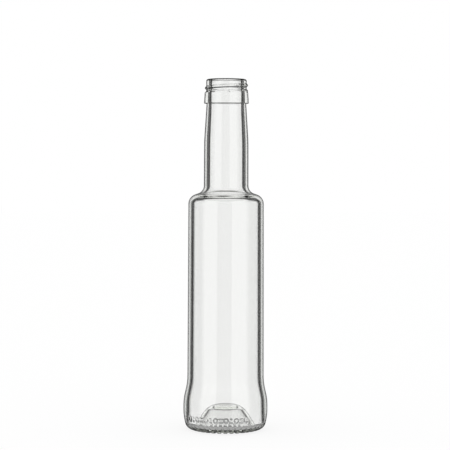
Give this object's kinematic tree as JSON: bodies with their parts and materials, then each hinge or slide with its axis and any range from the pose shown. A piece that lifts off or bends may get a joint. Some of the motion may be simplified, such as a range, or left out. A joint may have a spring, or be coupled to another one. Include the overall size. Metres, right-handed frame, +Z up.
{
  "type": "round glass bottle",
  "caption": "Round clear glass bottle with a long neck, rounded shoulder, straight body and wider foot, with a screw finish for a roll-on cap.",
  "frame": {"origin": "centre of the ring that the bottle stands on, at its lowest level", "axes": "+Z up along the bottle's own axis to the mouth; the viewer of the front looks along +Y, with +X to the right"},
  "size_m": [0.053, 0.053, 0.22],
  "materials": {
    "flint_glass": "clear, fire-polished gloss"
  },
  "bodies": {
    "root": {"bottle": "flint_glass"}
  },
  "joints": []
}
